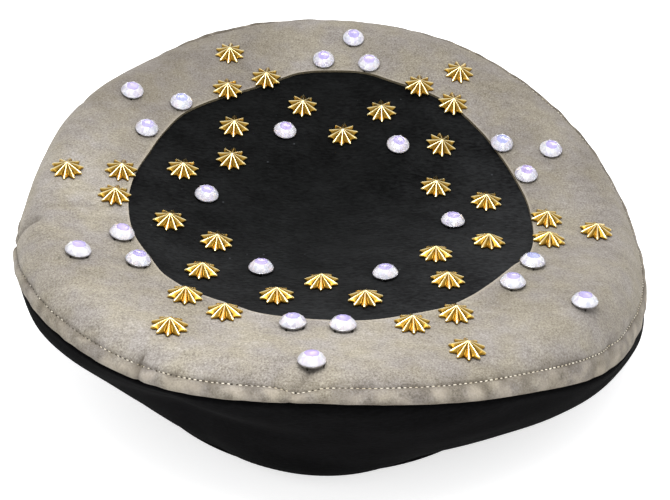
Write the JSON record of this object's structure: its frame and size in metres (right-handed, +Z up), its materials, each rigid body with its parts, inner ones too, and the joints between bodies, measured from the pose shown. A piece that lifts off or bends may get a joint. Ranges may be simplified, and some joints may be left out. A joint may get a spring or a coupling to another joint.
{
  "type": "studded beret hat",
  "caption": "Soft wide beret with a dished crown, a contrasting suede ring round its edge, a headband, and star studs and crystals set in a ring pattern.",
  "frame": {"origin": "on the surface that the hat stands on, under the middle of its outline", "axes": "+Z up, -Y towards the front of the hat, +X to the right as seen from the front in the picture"},
  "size_m": [0.2698, 0.2596, 0.091],
  "materials": {
    "beige_suede": "brushed suede nap",
    "black_suede": "brushed suede nap",
    "band_cloth": "matte",
    "gold_metal": "polished"
  },
  "bodies": {
    "root": {"crown_ring": "beige_suede", "crown_centre": "black_suede", "underside": "black_suede", "headband": "band_cloth", "gold_star_01": "gold_metal", "gold_star_02": "gold_metal", "gold_star_03": "gold_metal", "gold_star_04": "gold_metal", "gold_star_05": "gold_metal", "gold_star_06": "gold_metal", "gold_star_07": "gold_metal", "gold_star_08": "gold_metal", "gold_star_09": "gold_metal", "gold_star_10": "gold_metal", "gold_star_11": "gold_metal", "gold_star_12": "gold_metal", "gold_star_13": "gold_metal", "gold_star_14": "gold_metal", "gold_star_15": "gold_metal", "gold_star_16": "gold_metal", "gold_star_17": "gold_metal", "gold_star_18": "gold_metal", "gold_star_19": "gold_metal", "gold_star_20": "gold_metal", "gold_star_21": "gold_metal", "gold_star_22": "gold_metal", "gold_star_23": "gold_metal", "gold_star_24": "gold_metal", "gold_star_25": "gold_metal", "gold_star_26": "gold_metal", "gold_star_27": "gold_metal", "gold_star_28": "gold_metal", "gold_star_29": "gold_metal", "gold_star_30": "gold_metal", "gold_star_31": "gold_metal", "gold_star_32": "gold_metal", "gold_star_33": "gold_metal", "gold_star_34": "gold_metal", "gold_star_35": "gold_metal", "gold_star_36": "gold_metal"}
  },
  "joints": []
}
